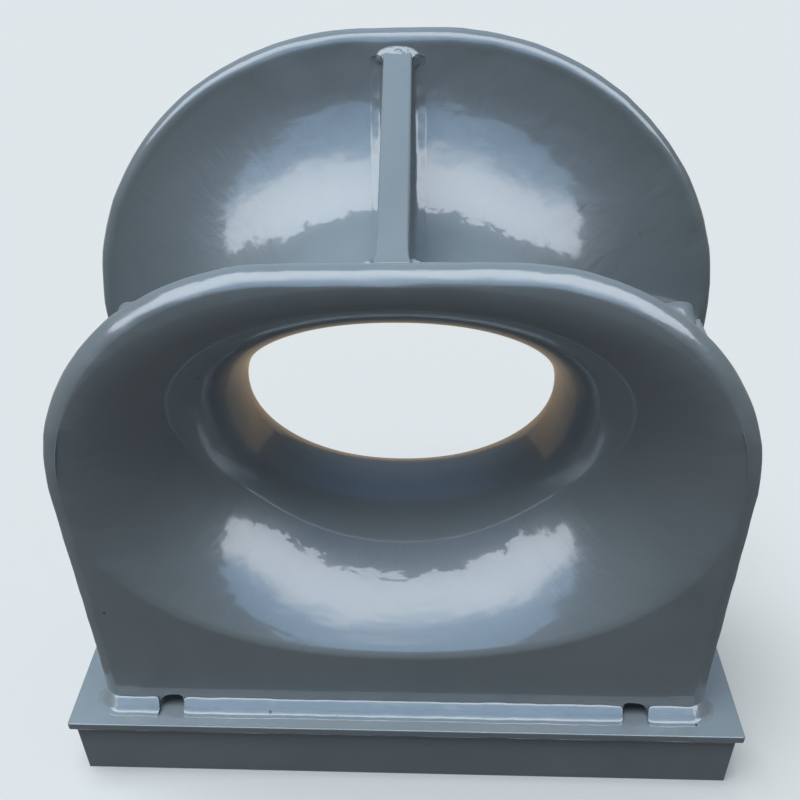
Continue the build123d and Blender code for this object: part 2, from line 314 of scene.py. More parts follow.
def outward(obj):
    """Merges doubles and turns every face outwards."""
    start_editing(obj)
    bpy.ops.mesh.select_all(action="SELECT")
    bpy.ops.mesh.remove_doubles(threshold=2 * NEAR)
    bpy.ops.mesh.normals_make_consistent(inside=False)
    stop_editing()


def finish_piece(obj, paint, nodes, angle=50):
    """Shades a piece, paints it, fixes it to the chock and lets it stand for its nodes."""
    lone(obj)
    bpy.ops.object.shade_smooth_by_angle(angle=radians(angle))
    obj.data.materials.clear()
    obj.data.materials.append(enamel(paint))
    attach(obj, "root")
    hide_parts(*nodes)


# ---- bell halves ----


class Lip:
    """One flange: its side of the throat, its top and the round of its upper corners."""

    def __init__(self, side, top, corner):
        self.side, self.top, self.corner = side, top, corner
        self.level = top - corner
        self.straight = HALF_WIDTH - corner


def inner_face():
    """How far the flanges' groove faces stand from the middle of the chock."""
    return HALF_LENGTH - bpy.context.scene.chock_bell.wall


def lips():
    bell = bpy.context.scene.chock_bell
    return Lip(-1, FRONT_TOP, bell.front_corner), Lip(1, REAR_TOP, bell.rear_corner)


def turns_to(last, count):
    """Even turns from 0 to the last one."""
    return [last * i / count for i in range(count + 1)]


def flare(turn, end):
    """Share of the way from throat to mouth, on a curve that has turned this far at its end."""
    return (1 - cos(asin(sin(turn) * sin(end)))) / (1 - cos(end))


class Ring:
    """The bell's rounded section at one turn, in a plane that leans less to the mouth."""

    def __init__(self, lip, skin, turn):
        bell = bpy.context.scene.chock_bell
        middle = BASE_TOP + bell.opening_level
        half_height = bell.opening_height / 2
        throat_top, throat_foot = middle + half_height + skin, middle - half_height - skin
        throat_side = bell.opening_width / 2 + skin
        mouth_top, mouth_side = lip.top - bell.lip_margin, HALF_WIDTH - bell.lip_margin
        mouth_foot = BASE_TOP + bell.mouth_foot
        top = throat_top + (mouth_top - throat_top) * flare(turn, bell.top_flare)
        foot = throat_foot + (mouth_foot - throat_foot) * flare(turn, bell.foot_flare)
        slope = (1 - sin(turn)) * tan(bell.throat_lean)
        self.side = throat_side + (mouth_side - throat_side) * flare(turn, bell.side_flare)
        self.lean = atan(slope)
        self.radius = (top - foot) / 2 / cos(self.lean)
        # power of the section's curve, where 2 is an ellipse
        self.power = 2 + bell.fullness * max(0, self.side - self.radius) / self.radius
        self.level = (top + foot) / 2
        run_out = lip.side * (HALF_LENGTH - skin) * sin(turn)
        self.y = run_out + slope * (middle + half_height - self.level)

    def centre(self):
        return Vector((0, self.y, self.level))

    def half(self, count):
        """Right half of the section from foot to crown, as (across, up) in its plane."""
        for i in range(count + 1):
            turn = pi * (i / count - 0.5)
            across = max(0, cos(turn)) ** (2 / self.power) if 0 < i < count else 0
            up = abs(sin(turn)) ** (2 / self.power)
            yield self.side * across, self.radius * (up if turn > 0 else -up)

    def leaned(self, across, up):
        """Place of a point of the section's plane."""
        return self.centre() + Vector((across, -up * sin(self.lean), up * cos(self.lean)))

    def crown(self):
        """Top of the section in the middle of the chock."""
        return self.leaned(0, self.radius)

    def at_height(self, height):
        """Point on the section's right half at this height."""
        up = (height - self.level) / cos(self.lean)
        share = max(0, 1 - abs(up / self.radius) ** self.power)
        return self.leaned(self.side * share ** (1 / self.power), up)


def reshape(obj, bm, numbers, scale, centre):
    choose(obj, bm, numbers)
    bpy.ops.transform.resize(value=scale, center_override=centre)


def settle_ring(obj, bm, ring):
    """Moves the selected half ring, from its foot to its crown, onto a section of the bell."""
    rising = sorted(chosen(bm), key=lambda i: bm.verts[i].co.z)
    for i, (across, up) in zip(rising, ring.half(len(rising) - 1)):
        bm.verts[i].co = ring.leaned(across, up)
    bmesh.update_edit_mesh(obj.data)


# the guard ring's way out from the mouth: at most this share of the flange, and this length
GUARD_SHARE, GUARD_REACH = 0.3, 0.006


def lay_skin(lip, skin, rim):
    """One skin of a bell half: throat, bell and flange face.

    The rim is a list of (inset, y) rings that carry the skin over the flange's rim.
    """
    bell = bpy.context.scene.chock_bell
    ring = Ring(lip, skin, 0)
    lone()
    bpy.ops.mesh.primitive_circle_add(
        vertices=2 * bell.ring_points, radius=ring.radius, location=ring.centre(),
        rotation=(pi / 2, 0, 0),
    )
    obj = placed("bell_skin")
    bm = start_editing(obj)
    choose(obj, bm, [v.index for v in bm.verts if v.co.x < -NEAR])
    bpy.ops.mesh.delete(type="VERT")
    bpy.ops.mesh.select_all(action="SELECT")
    settle_ring(obj, bm, ring)
    # the bell runs out flat, so the last two rings before the mouth, which bunch, are left out
    for step in (*range(1, bell.bell_rings - 2), bell.bell_rings):
        new = Ring(lip, skin, pi / 2 * step / bell.bell_rings)
        extrude(new.centre() - ring.centre())
        settle_ring(obj, bm, new)
        ring = new

    # from the mouth to the flange's outline, with its corner at the nearest point, and with
    # a guard ring close to the mouth that keeps the flange's shading flat
    rings = [chosen(bm)]
    for _ in range(2):
        extrude((0, 0, 0))
        rings.append(chosen(bm))
    edge = rings[-1]
    middle = Vector((lip.straight, ring.y, lip.level))
    offs = {i: bm.verts[i].co - middle for i in edge}
    turn = {i: atan2(-off.z, off.x) for i, off in offs.items()}
    aim = atan2(lip.level - BASE_TOP, HALF_WIDTH - lip.straight)
    corner = min(edge, key=lambda i: abs(turn[i] - aim))
    inset, y = rim[0][0], ring.y
    drop = (lip.level - BASE_TOP) / (lip.level - bm.verts[corner].co.z)
    spread = (HALF_WIDTH - inset) / bm.verts[corner].co.x
    places = (
        [k for k, i in enumerate(edge) if turn[i] <= -pi / 2],
        [k for k, i in enumerate(edge) if -pi / 2 < turn[i] < 0],
        [k for k, i in enumerate(edge) if 0 <= turn[i] < turn[corner]],
        [k for k, i in enumerate(edge) if turn[i] >= turn[corner]],
    )
    top, crown, legs, foot = ([edge[k] for k in group] for group in places)
    reshape(obj, bm, top, (1, 1, 0), (0, y, lip.top - inset))
    for i in crown:
        # each crown point goes straight out from the corner's centre to the outline
        out = (bm.verts[i].co - middle).normalized()
        choose(obj, bm, [i])
        goal = middle + out * (lip.corner - inset)
        bpy.ops.transform.translate(value=goal - bm.verts[i].co)
    reshape(obj, bm, legs, (0, 1, drop), (HALF_WIDTH - inset, y, lip.level))
    reshape(obj, bm, foot, (spread, 1, 0), (0, y, BASE_TOP))
    for mouth, guard, outer in zip(*rings):
        way = bm.verts[outer].co - bm.verts[mouth].co
        share = min(GUARD_SHARE, GUARD_REACH / way.length)
        bm.verts[guard].co = bm.verts[mouth].co + way * share
    choose(obj, bm, edge)

    for new_inset, new_y in rim[1:]:
        extrude((0, new_y - y, 0))
        edge = chosen(bm)
        y = new_y
        grow = (lip.corner - new_inset) / (lip.corner - inset)
        spread = (HALF_WIDTH - new_inset) / (HALF_WIDTH - inset)
        top, crown, legs, foot = ([edge[k] for k in group] for group in places)
        reshape(obj, bm, top, (1, 1, 0), (0, y, lip.top - new_inset))
        reshape(obj, bm, crown, (grow, 1, grow), (lip.straight, y, lip.level))
        choose(obj, bm, legs)
        bpy.ops.transform.translate(value=(inset - new_inset, 0, 0))
        reshape(obj, bm, foot, (spread, 1, 1), (0, y, BASE_TOP))
        choose(obj, bm, edge)
        inset = new_inset
    stop_editing()
    mirror = obj.modifiers.new("other_half", "MIRROR")
    mirror.merge_threshold = NEAR
    apply_all(obj)
    return obj


def rim_curve(steps):
    """The rim's round on the rope's side, as insets from the outline and depths."""
    bell = bpy.context.scene.chock_bell
    share = 2 / bell.rim_power
    curve = []
    for turn in turns_to(pi / 2, steps):
        inset, depth = 1 - sin(turn) ** share, 1 - max(0, cos(turn)) ** share
        curve.append((bell.rim_reach * inset, bell.rim_depth * depth))
    return curve


def rim_rings(lip, steps=10):
    """Rings over the rim, from the rope's face to the groove's face, as (inset, y)."""
    bell = bpy.context.scene.chock_bell
    rope = [(inset, HALF_LENGTH - depth) for inset, depth in rim_curve(steps)]
    groove = [
        (bell.groove_reach * (1 - sin(t)), inner_face() + bell.rim_round * (1 - cos(t)))
        for t in reversed(turns_to(pi / 2, steps))
    ]
    return [(inset, lip.side * y) for inset, y in rope + groove]


def scallop_cutter(lip, side):
    """Block with the outline of one drain scallop, rounder towards the flange's end."""
    bell = bpy.context.scene.chock_bell
    deep, outer_round, inner_round = 0.01, 0.017, 0.006
    middle = side * bell.scallop_spacing / 2
    roof = BASE_TOP + bell.scallop_height
    level = BASE_TOP + (bell.scallop_height - deep) / 2
    lone()
    bpy.ops.mesh.primitive_cube_add(
        size=1,
        location=(middle, lip.side * (HALF_LENGTH - bell.wall / 2), level),
        scale=(bell.scallop_width, 2 * bell.wall, bell.scallop_height + deep),
    )
    obj = placed("scallop_cutter")
    for outer, radius in ((True, outer_round), (False, inner_round)):

        def on_corner(edge):
            across = all(abs(v.co.z - roof) < 10 * NEAR for v in edge.verts)
            along = abs(edge.verts[0].co.y - edge.verts[1].co.y) > bell.wall
            right_end = all((side * (v.co.x - middle) > 0) == outer for v in edge.verts)
            return across and along and right_end

        choose_edges(obj, on_corner)
        bpy.ops.mesh.bevel(offset=radius, segments=8, affect="EDGES")
        stop_editing()
    return obj


def cut(obj, cutters):
    for cutter in cutters:
        modifier = obj.modifiers.new("cut", "BOOLEAN")
        modifier.operation = "DIFFERENCE"
        modifier.solver = "EXACT"
        modifier.object = cutter
        apply_all(obj)
        bpy.data.objects.remove(cutter)


# the rim's waves: full this far in from the outline and gone at twice that, from this height
# above the base plate, growing over this height; and the waves' size
WAVE_BAND, WAVE_FOOT, WAVE_GROWTH, WAVE_SIZE = 0.016, 0.03, 0.05, 0.03


def wave_rim(obj, lip):
    """Gives the rim the slow waves of a ground edge, all inwards from its outline."""
    rim = obj.vertex_groups.new(name="rim")
    for v in obj.data.vertices:
        x, z = abs(v.co.x), v.co.z
        inset = min(HALF_WIDTH - x, lip.top - z)
        if x > lip.straight and z > lip.level:
            inset = lip.corner - Vector((x - lip.straight, z - lip.level)).length
        near = min(1, max(0, 2 - inset / WAVE_BAND))
        above = min(1, max(0, (z - BASE_TOP - WAVE_FOOT) / WAVE_GROWTH))
        rim.add([v.index], near * above, "REPLACE")
    waves = add_clouds(obj, "waves", WAVE_SIZE, 1)
    waves.vertex_group = rim.name
    waves.strength = bpy.context.scene.chock_bell.waviness
    waves.mid_level = 1
    apply_all(obj)
    obj.vertex_groups.clear()


def bell_half(lip, name):
    """One half of the chock: bell, flange, rim and drain scallops."""
    bell = bpy.context.scene.chock_bell
    obj = lay_skin(lip, 0, rim_rings(lip))
    groove = lay_skin(lip, bell.wall, [(bell.groove_reach, lip.side * inner_face())])
    lone(obj)
    groove.select_set(True)
    bpy.ops.object.join()
    obj.name = obj.data.name = name
    outward(obj)
    choose_edges(obj, lambda edge: edge.is_boundary)
    bpy.ops.mesh.bridge_edge_loops()
    stop_editing()
    outward(obj)
    cut(obj, [scallop_cutter(lip, side) for side in (-1, 1)])
    wave_rim(obj, lip)
    return obj


class CHOCK_OT_bell_halves(bpy.types.Operator):
    """Both halves of the bell with their flanges, rims and drain scallops"""

    bl_idname = "chock.bell_halves"
    bl_label = "Bell Halves"

    def execute(self, context):
        for lip, end in zip(lips(), ("front", "rear")):
            obj = bell_half(lip, end + "_bell_half")
            finish_piece(obj, "bell_paint", [end + "_trumpet"], 40)
        return {"FINISHED"}


# ---- plates ----


class CHOCK_OT_plates(bpy.types.Operator):
    """Enamel on the rib, shelves, side plates, base plate, skirt and webs"""

    bl_idname = "chock.plates"
    bl_label = "Plates"

    def execute(self, context):
        inner = ("lower_rib", "base_web_left", "base_web_center", "base_web_right")
        for node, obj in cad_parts.items():
            if "weld" in node or "trumpet" in node:
                continue
            obj.data.materials.clear()
            obj.data.materials.append(enamel("inner_paint" if node in inner else "plate_paint"))
        return {"FINISHED"}


# ---- welds ----

# section of a painted corner weld: (out, up) in legs, root first
FILLET = (
    (-0.08, -0.08), (-0.08, 0.50), (-0.06, 1.00), (0.05, 1.03), (0.17, 0.95), (0.38, 0.74),
    (0.60, 0.53), (0.80, 0.34), (0.95, 0.21), (1.04, 0.10), (1.03, -0.06), (0.50, -0.08),
)
# section of a weld that the paint has filled to a hollow
HOLLOW = (
    (-0.08, -0.08), (-0.08, 0.40), (-0.06, 0.70), (0.02, 0.66), (0.07, 0.46), (0.15, 0.31),
    (0.28, 0.20), (0.45, 0.12), (0.68, 0.07), (0.92, 0.03), (1.16, -0.01), (1.10, -0.10),
)
# section of a foot weld, with a ledge at its top and a drawn-out toe
FOOT = (
    (-0.08, -0.08), (-0.08, 0.60), (-0.07, 1.03), (0.05, 0.98), (0.19, 0.84), (0.40, 0.63),
    (0.60, 0.43), (0.78, 0.23), (0.93, 0.11), (1.14, 0.05), (1.30, -0.01), (1.26, -0.08),
)
# section of the ring weld's crown: (across, out) in widths and heights
CROWN = (
    (-0.50, -0.30), (-0.50, 0.15), (-0.34, 0.72), (-0.12, 1.00), (0.12, 1.00), (0.34, 0.72),
    (0.50, 0.15), (0.50, -0.30),
)


def headings(points, axis):
    """Direction of the path at each point, as an angle about the axis that it turns on."""
    first, second = {"X": (1, 2), "Y": (2, 0), "Z": (0, 1)}[axis]
    spans = zip([points[0], *points], [*points[1:], points[-1]])
    ways = [ahead - behind for behind, ahead in spans]
    return [atan2(way[second], way[first]) for way in ways]


# a bead's hand: changes per metre, share of its ripples, and size of its rounded ends
WANDER_RATE, RIPPLE_SHARE, SMALLEST_END = 42, 0.25, 0.45


def bead_size(i, points, leg, seed, taper):
    """Size of the bead at a point, of its full size: rounded ends and a wandering hand."""
    weld = bpy.context.scene.chock_welds
    wander = noise.noise(points[i] * WANDER_RATE + seed * RIGHT)
    ripple = RIPPLE_SHARE * noise.noise(Vector((seed, 9.7 * i, 0.5)))
    size = 1 + weld.unevenness * (wander + ripple)
    if taper:
        left = min((points[i] - points[0]).length, (points[i] - points[-1]).length)
        near = min(1, left / (taper * leg))
        size *= max(SMALLEST_END, sqrt(1 - (1 - near) ** 2))
    return size


def lay_bead(name, points, axis, out, up, seed, leg, legs, section, taper):
    """A weld bead laid along a flat path, its section carried from point to point."""
    lone()
    bpy.ops.mesh.primitive_circle_add(vertices=len(section), radius=leg, location=points[0])
    obj = placed(name)
    bm = start_editing(obj)
    size = bead_size(0, points, leg, seed, taper)
    bm.verts.ensure_lookup_table()
    for v, (a, b) in zip(bm.verts, section):
        v.co = points[0] + out * (a * legs[0] * size) + up * (b * legs[1] * size)
    bmesh.update_edit_mesh(obj.data)
    bpy.ops.mesh.select_all(action="SELECT")
    bpy.ops.mesh.edge_face_add()
    ways = headings(points, axis)
    for i in range(1, len(points)):
        extrude(points[i] - points[i - 1])
        turn_about(remainder(ways[i] - ways[i - 1], 2 * pi), axis, points[i])
        new_size = bead_size(i, points, leg, seed, taper)
        grow = new_size / size
        bpy.ops.transform.resize(value=(grow, grow, grow), center_override=points[i])
        size = new_size
    stop_editing()
    return obj


def lay_weld(node, runs, leg, legs=None, section=FILLET, taper=0, lumps=0.11, lean=None):
    """A painted weld for this node, of beads given as (points, axis, out, up, seed).

    The taper is the length of a rounded end and the lumps are their depth, both in legs. The
    lean, an angle and a centre, tips the whole weld back from the low lip.
    """
    name = node.replace("weld", "bead")
    beads = [lay_bead(name, *run, leg, legs or (leg, leg), section, taper) for run in runs]
    weld = beads[0]
    lone(weld)
    for bead in beads[1:]:
        bead.select_set(True)
    if len(beads) > 1:
        bpy.ops.object.join()
    if lean:
        start_editing(weld)
        bpy.ops.mesh.select_all(action="SELECT")
        turn_about(lean[0], "X", lean[1])
        stop_editing()
    outward(weld)
    smooth = weld.modifiers.new("smooth", "SUBSURF")
    smooth.levels = smooth.render_levels = 1
    add_clouds(weld, "lumps", 0.9 * leg, 2).strength = lumps * leg
    apply_all(weld)
    finish_piece(weld, "weld_paint", [node])


def evenly(start, end, step):
    """Points along a straight line, about a step apart."""
    start, end = Vector(start), Vector(end)
    count = max(3, round((end - start).length / step))
    return [start.lerp(end, i / count) for i in range(count + 1)]


def rib_foot(lip, turn):
    return Ring(lip, bpy.context.scene.chock_bell.wall, turn).crown()


def rib_line():
    """Foot of the rib along the groove, from the front rim to just under the rear rim."""
    front, rear = lips()
    start = Vector((0, -inner_face(), FRONT_TOP - 0.002))
    down = [rib_foot(front, t) for t in reversed(turns_to(pi / 2, 18))]
    high, low = RIB_HIGH.z - 0.004, rib_foot(rear, 0).z
    last = acos(max(-1, 1 - (high - low) / (rib_foot(rear, pi / 2).z - low)))
    return [start] + down + [rib_foot(rear, t) for t in turns_to(last, 28)][1:]


def rib_end_line():
    """Arch over the rib's high end, with a longer leg on the right."""
    first, sweep, steps = -10, 195, 24
    wide, y, low, rise = RIB_HIGH.x + 0.001, inner_face() - 0.001, RIB_HIGH.z - 0.009, 0.0055
    turns = [radians(first + sweep * i / steps) for i in range(steps + 1)]
    arch = [Vector((wide * cos(t), y, low + rise * sin(t))) for t in turns]
    tail = [arch[0] + Vector((0.001, 0, -0.004 * k)) for k in (3, 2, 1)]
    stub = [arch[-1] + Vector((-0.001, 0, -0.003 * k)) for k in (1, 2)]
    return tail + arch + stub


def rib_toe_pad():
    """Flush filling between the rib's low end and the rounded rim, a little wider there."""
    inner = inner_face()
    slope = (RIB_HIGH.z - FRONT_TOP) / (2 * inner)
    proud, deep, edge = 0.0004, 0.008, 0.0015
    # place behind the flange's inner face, and width in widths of the rib
    rows = (
        (-bpy.context.scene.chock_bell.rim_round, 1.16), (-0.006, 1.13), (-0.002, 1.09),
        (0.002, 1.05), (0.006, 1.02), (0.012, 1.00), (0.020, 0.99),
    )
    lone()
    bpy.ops.mesh.primitive_grid_add(
        x_subdivisions=10, y_subdivisions=len(rows) - 1, size=1, location=(0, 0, FRONT_TOP)
    )
    pad = placed("rib_toe_pad")
    bm = start_editing(pad)
    bm.verts.index_update()
    levels = sorted({round(v.co.y, 4) for v in bm.verts})
    members = [[v.index for v in bm.verts if round(v.co.y, 4) == y] for y in levels]
    for row, (behind, wide), old in zip(members, rows, levels):
        y = -inner + behind
        reshape(pad, bm, row, (2 * RIB_HIGH.x * wide, 1, 1), (0, old, FRONT_TOP))
        lift = max(0, y + inner) * slope + proud
        bpy.ops.transform.translate(value=(0, y - old, lift))
    bpy.ops.mesh.select_all(action="SELECT")
    extrude((0, 0, -deep))
    stop_editing()
    round_edges = pad.modifiers.new("round", "BEVEL")
    round_edges.width = edge
    round_edges.segments = 3
    apply_all(pad)
    outward(pad)
    return pad


class CHOCK_OT_rib_welds(bpy.types.Operator):
    """Welds beside the rib, round its high end and behind its low end"""

    bl_idname = "chock.rib_welds"
    bl_label = "Rib Welds"

    def execute(self, context):
        weld = context.scene.chock_welds
        for side, hand in SIDES:
            line = [p + side * RIB_HIGH.x * RIGHT for p in rib_line()]
            run = (line, "X", side * RIGHT, AHEAD, 3.1 + side)
            lay_weld("rib_weld_" + hand, [run], weld.rib_leg, section=HOLLOW)
        run = (rib_end_line(), "Y", RIGHT, -AHEAD, 8.3)
        legs = (weld.end_leg, 0.7 * weld.end_leg)
        lay_weld("rib_end_weld", [run], weld.end_leg, legs, taper=0.4)
        finish_piece(rib_toe_pad(), "plate_paint", ["rib_toe_weld"])
        return {"FINISHED"}


class CHOCK_OT_throat_weld(bpy.types.Operator):
    """Ring weld that joins the halves, on the groove side of the throat"""

    bl_idname = "chock.throat_weld"
    bl_label = "Throat Weld"

    def execute(self, context):
        weld = context.scene.chock_welds
        throat = Ring(lips()[0], context.scene.chock_bell.wall, 0)
        right = [throat.centre() + Vector((x, 0, z)) for x, z in throat.half(60)]
        left = [Vector((-p.x, p.y, p.z)) for p in reversed(right)]
        run = (right + left[1:], "Y", AHEAD, -UP, 5.7)
        legs = (weld.throat_width, weld.throat_height)
        lean = (throat.lean, throat.centre())
        lay_weld("throat_weld", [run], legs[0], legs, CROWN, lumps=0.05, lean=lean)
        return {"FINISHED"}


class CHOCK_OT_shelf_welds(bpy.types.Operator):
    """Welds along the bell on the shelves' upper faces"""

    bl_idname = "chock.shelf_welds"
    bl_label = "Shelf Welds"

    def execute(self, context):
        weld = context.scene.chock_welds
        wall, turns, short = context.scene.chock_bell.wall, turns_to(pi / 2, 22), 0.001
        sections = [Ring(lips()[0], wall, t) for t in reversed(turns)]
        sections += [Ring(lips()[1], wall, t) for t in turns[1:]]
        line = [section.at_height(SHELF_HIGH.z) for section in sections]
        line = [p for p in line if p.x < SHELF_HIGH.x - short]
        for side, hand in SIDES:
            root = [Vector((side * p.x, p.y, SHELF_HIGH.z)) for p in line]
            run = (root, "Z", AHEAD, UP, 11 + side)
            legs = (weld.shelf_leg, weld.shelf_height)
            lay_weld("shelf_weld_" + hand, [run], weld.shelf_leg, legs, taper=0.3)
        return {"FINISHED"}


class CHOCK_OT_side_welds(bpy.types.Operator):
    """Welds round the edges of the side plates"""

    bl_idname = "chock.side_welds"
    bl_label = "Side Welds"

    def execute(self, context):
        weld = context.scene.chock_welds
        y, low, high = inner_face(), BASE_TOP, SHELF_LOW.z
        for side, hand in SIDES:
            x = side * SIDE_FACE
            edges = (
                ((x, -y, low), (x, y, low), "Z", UP),
                ((x, -y, high), (x, y, high), "Z", -UP),
                ((x, -y, low), (x, -y, high), "Y", AHEAD),
                ((x, y, low), (x, y, high), "Y", -AHEAD),
            )
            runs = [
                (evenly(a, b, 1.5 * weld.step), axis, side * RIGHT, up, 20 + 3 * k + side)
                for k, (a, b, axis, up) in enumerate(edges)
            ]
            lay_weld("side_weld_" + hand, runs, weld.side_leg)
        return {"FINISHED"}


class CHOCK_OT_foot_welds(bpy.types.Operator):
    """Welds at the flanges' feet, broken at the scallops and wrapped round the ends"""

    bl_idname = "chock.foot_welds"
    bl_label = "Foot Welds"

    def execute(self, context):
        weld = context.scene.chock_welds
        bell = context.scene.chock_bell
        inside = (bell.scallop_spacing - bell.scallop_width) / 2
        outside = (bell.scallop_spacing + bell.scallop_width) / 2
        past_flange = 0.002
        for lip, end in zip(lips(), ("front", "rear")):
            y = lip.side * HALF_LENGTH
            last = lip.side * (inner_face() + past_flange)
            lines = {"center": evenly((-inside, y, BASE_TOP), (inside, y, BASE_TOP), weld.step)}
            for side, hand in SIDES:
                bend = side * (HALF_WIDTH - bell.rim_reach)
                line = evenly((side * outside, y, BASE_TOP), (bend, y, BASE_TOP), weld.step)
                for inset, depth in rim_curve(8)[1:]:
                    x = side * (HALF_WIDTH - inset)
                    line.append(Vector((x, lip.side * (HALF_LENGTH - depth), BASE_TOP)))
                line += evenly(line[-1], (line[-1].x, last, BASE_TOP), weld.step)[1:]
                lines[hand] = line
            for hand, shift in (("center", 0), ("left", -5), ("right", 5)):
                run = (lines[hand], "Z", lip.side * AHEAD, UP, 31 + lip.side + shift)
                node, legs = f"{end}_foot_weld_{hand}", (weld.foot_reach, weld.foot_leg)
                lay_weld(node, [run], weld.foot_leg, legs, FOOT, lumps=0.022)
        return {"FINISHED"}


class CHOCK_OT_skirt_weld(bpy.types.Operator):
    """Weld round the pedestal, under the base plate's overhang"""

    bl_idname = "chock.skirt_weld"
    bl_label = "Skirt Weld"

    def execute(self, context):
        weld = context.scene.chock_welds
        x, y, z = SKIRT_HIGH
        edges = (
            ((-x, -y, z), (x, -y, z), -AHEAD),
            ((-x, y, z), (x, y, z), AHEAD),
            ((-x, -y, z), (-x, y, z), -RIGHT),
            ((x, -y, z), (x, y, z), RIGHT),
        )
        runs = [
            (evenly(a, b, 1.5 * weld.step), "Z", out, -UP, 50 + 3 * k)
            for k, (a, b, out) in enumerate(edges)
        ]
        lay_weld("skirt_weld", runs, weld.skirt_leg)
        return {"FINISHED"}


# ---- enamel ----


COLOUR, NUMBER = "NodeSocketColor", "NodeSocketFloat"


def new_group(name, inputs, outputs):
    """A shader node group with these sockets, its Object coordinates and its end nodes."""
    group = bpy.data.node_groups.new(name, "ShaderNodeTree")
    for way, sockets in (("INPUT", inputs), ("OUTPUT", outputs)):
        for label, kind in sockets.items():
            group.interface.new_socket(name=label, in_out=way, socket_type=kind)
    enter = group.nodes.new("NodeGroupInput").outputs
    leave = group.nodes.new("NodeGroupOutput")
    return group, add_node(group, "TexCoord")["Object"], enter, leave


def fill(tree, made, inputs):
    """Sets a node's inputs, given by name or number, to values or to sockets."""
    for label, value in inputs.items():
        if isinstance(value, bpy.types.NodeSocket):
            tree.links.new(value, made.inputs[label])
        else:
            made.inputs[label].default_value = value


def add_node(tree, kind, inputs=(), **settings):
    """Adds a shader node, sets it up, fills its inputs and gives its outputs."""
    made = tree.nodes.new("ShaderNode" + kind)
    for key, value in settings.items():
        setattr(made, key, value)
    fill(tree, made, dict(inputs))
    return made.outputs


def maths(tree, operation, *values, clamp=False):
    """Result of a maths node, its inputs given as numbers or as sockets."""
    inputs = dict(enumerate(values))
    return add_node(tree, "Math", inputs, operation=operation, use_clamp=clamp)[0]


def clouds(tree, vector, scale, detail, rough, distortion=0.0):
    inputs = {"Vector": vector, "Scale": scale, "Detail": detail, "Roughness": rough}
    return add_node(tree, "TexNoise", {**inputs, "Distortion": distortion})["Fac"]


def mixed(tree, factor, first, second, kind="RGBA"):
    """Mix of two colours, or with kind VECTOR of two vectors."""
    at, out = (6, 2) if kind == "RGBA" else (4, 1)
    pair = [v if isinstance(v, bpy.types.NodeSocket) else (*v, 1) for v in (first, second)]
    return add_node(tree, "Mix", {0: factor, at: pair[0], at + 1: pair[1]}, data_type=kind)[out]


# heights in the coat, in metres: slow waves, brush strokes and orange peel; nibs and pits
WAVE_HEIGHT, STROKE_HEIGHT, PEEL_HEIGHT = 0.0013, 0.0006, 0.00012
NIB_HEIGHT, PIT_DEPTH = 0.0004, 0.0005


def brushed_coat():
    """Group: a thick brushed coat, with mottled colour, uneven gloss and a wavy surface.

    The height is in metres. Round strokes fan out from the throat, others run across.
    """
    numbers = dict.fromkeys(("Roughness", "Peel", "Sag", "Round"), NUMBER)
    group, place, enter, leave = new_group(
        "brushed_coat",
        {"Colour": COLOUR, "Thick Colour": COLOUR, **numbers},
        {"Colour": COLOUR, "Roughness": NUMBER, "Height": NUMBER},
    )
    do = partial(maths, group)
    broad = clouds(group, place, 5.5, 4, 0.55, 0.6)
    patch = do("MULTIPLY_ADD", broad, 2.4, -0.7, clamp=True)
    haze = clouds(group, place, 21, 5, 0.6)
    uneven = do("MULTIPLY_ADD", haze, 0.12, -0.06)

    # strokes: their own coordinates turn round the throat and grow away from it
    x, y, z = add_node(group, "SeparateXYZ", {0: place})
    above = do("SUBTRACT", z, BASE_TOP + bpy.context.scene.chock_bell.opening_level)
    away = do("SQRT", do("MULTIPLY_ADD", x, x, do("MULTIPLY", above, above)))
    fan = add_node(group, "CombineXYZ", {
        0: do("MULTIPLY", do("ARCTAN2", x, above), 13.0),
        1: do("MULTIPLY", away, 14.0),
        2: do("MULTIPLY", y, 14.0),
    })[0]
    run = add_node(group, "Mapping", {"Vector": place, "Scale": (9, 55, 60)})[0]
    lay = mixed(group, enter["Round"], run, fan, "VECTOR")
    stroke = clouds(group, lay, 1.0, 6, 0.68, 0.6)
    waves = clouds(group, place, 13, 2, 0.45, 0.5)
    fine = clouds(group, place, 300, 2, 0.5)
    sags = do("MULTIPLY_ADD", waves, WAVE_HEIGHT, do("MULTIPLY", stroke, STROKE_HEIGHT))
    sags = do("MULTIPLY", sags, enter["Sag"])
    peel = do("MULTIPLY", fine, enter["Peel"])
    fill(group, leave, {
        "Colour": mixed(group, patch, enter["Colour"], enter["Thick Colour"]),
        "Roughness": do("ADD", enter["Roughness"], uneven, clamp=True),
        "Height": do("MULTIPLY_ADD", peel, PEEL_HEIGHT, sags),
    })
    return group


def nibs():
    """Group: masks of sparse dry nibs and of pin holes in the coat; the holes' colour is
    painted shade.
    """
    numbers = dict.fromkeys(("Scale", "Share", "Size"), NUMBER)
    group, place, enter, leave = new_group("nibs", numbers, {"Nib": NUMBER, "Pit": NUMBER})
    do = partial(maths, group)
    cells = add_node(group, "TexVoronoi", {"Vector": place, "Scale": enter["Scale"]})
    near = do("LESS_THAN", cells["Distance"], enter["Size"])
    draw = add_node(group, "SeparateColor", {0: cells["Color"]})
    spot = do("MULTIPLY", near, do("LESS_THAN", draw[0], enter["Share"]))
    light = do("GREATER_THAN", draw[1], 0.45)
    dark = do("SUBTRACT", 1.0, light)
    fill(group, leave, {"Nib": do("MULTIPLY", spot, light), "Pit": do("MULTIPLY", spot, dark)})
    return group


# painted shade: a near-black that stands for the shade inside each pin hole
PIT_SHADE_COLOUR = (0.02, 0.024, 0.028)
